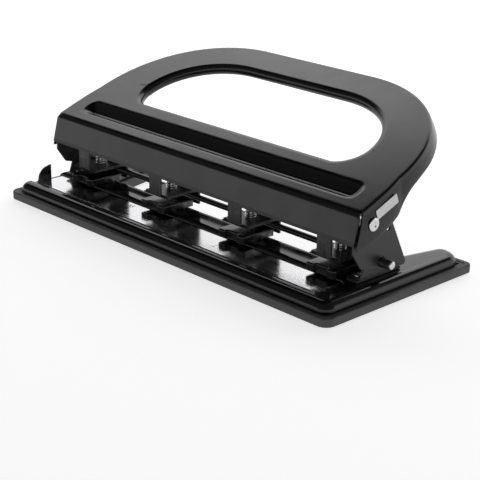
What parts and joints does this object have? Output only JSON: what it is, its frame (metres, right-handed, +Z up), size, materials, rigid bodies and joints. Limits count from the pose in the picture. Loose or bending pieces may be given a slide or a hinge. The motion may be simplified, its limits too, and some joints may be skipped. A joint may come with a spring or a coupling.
{
  "type": "four hole paper punch",
  "caption": "Desk hole punch with a D-shaped pressed lever handle, punch heads along a gloss black base, a sliding steel paper guide with an upright stop, and a pull-off chip tray.",
  "frame": {"origin": "on the desk, at the centre of the bounding box's underside", "axes": "+X along the row of punches, towards the end with the hold-down pin; +Y from the paper edge towards the handle's far end; +Z up"},
  "size_m": [0.3208, 0.1641, 0.1065],
  "materials": {
    "tray_plastic": "fine moulded grain, matte",
    "foot_rubber": "soft matte",
    "plate_enamel": "gloss black stoved enamel",
    "bracket_enamel": "satin black enamel",
    "zinc_steel": "zinc plated",
    "rivet_steel": "bright nickel plated",
    "ruler_steel": "polished",
    "rod_black": "black oxide, satin",
    "die_black": "black, semi gloss",
    "frame_black": "black, semi gloss, fine drawn grain",
    "pin_steel": "ground",
    "spring_steel": "bright wire",
    "bar_steel": "dark plated",
    "handle_enamel": "gloss black stoved enamel",
    "label_white": "satin film",
    "grip_black": "ribbed, satin"
  },
  "bodies": {
    "base": {"base_plate": "plate_enamel", "left_bracket": "bracket_enamel", "right_bracket": "bracket_enamel", "left_foot": "bracket_enamel", "right_foot": "bracket_enamel", "left_foot_screw_1": "zinc_steel", "left_foot_screw_2": "zinc_steel", "right_foot_screw_1": "zinc_steel", "right_foot_screw_2": "zinc_steel", "left_pivot_rivet": "rivet_steel", "right_pivot_rivet": "rivet_steel", "paper_stop_rod": "rod_black", "die_block_1": "die_black", "die_block_2": "die_black", "die_block_3": "die_black", "die_block_4": "die_black", "head_frame_1": "frame_black", "head_frame_2": "frame_black", "head_frame_3": "frame_black", "head_frame_4": "frame_black", "return_spring_1": "spring_steel", "return_spring_2": "spring_steel", "return_spring_3": "spring_steel", "return_spring_4": "spring_steel"},
    "tray": {"chip_tray": "tray_plastic", "rubber_foot_1": "foot_rubber", "rubber_foot_2": "foot_rubber", "rubber_foot_3": "foot_rubber", "rubber_foot_4": "foot_rubber"},
    "paper_guide": {"ruler": "ruler_steel"},
    "punch_carriage": {"press_bar": "bar_steel", "punch_pin_1": "pin_steel", "punch_pin_2": "pin_steel", "punch_pin_3": "pin_steel", "punch_pin_4": "pin_steel", "spring_collar_1": "pin_steel", "spring_collar_2": "pin_steel", "spring_collar_3": "pin_steel", "spring_collar_4": "pin_steel"},
    "lever": {"handle": "handle_enamel", "press_rib": "bar_steel", "side_label": "label_white"},
    "lock": {"lock_grip": "grip_black", "lock_pin_cap": "rivet_steel"}
  },
  "joints": [
    {"name": "lever_pivot", "type": "hinge", "parent": "base", "child": "lever", "pos_m": [0, -0.03326, 0.0522], "axis": [1, 0, 0], "range_deg": [-17.5, 0], "stiffness_Nm_per_rad": 2.5, "springref_deg": 6.88},
    {"name": "punch_slide", "type": "slide", "parent": "base", "child": "punch_carriage", "axis": [0, 0, -1], "range_m": [0, 0.0064], "deforming": ["return_spring_1", "return_spring_2", "return_spring_3", "return_spring_4"]},
    {"name": "guide_slide", "type": "slide", "parent": "base", "child": "paper_guide", "axis": [-1, 0, 0], "range_m": [0, 0.06]},
    {"name": "lock_slide", "type": "slide", "parent": "base", "child": "lock", "axis": [-1, 0, 0], "range_m": [0, 0.004]},
    {"name": "tray_release", "type": "slide", "parent": "base", "child": "tray", "axis": [0, 0, -1], "range_m": [0, 0.02]}
  ],
  "couplings": [
    {"joint": "punch_slide", "follows": "lever_pivot", "m_per_rad": -0.0203}
  ]
}
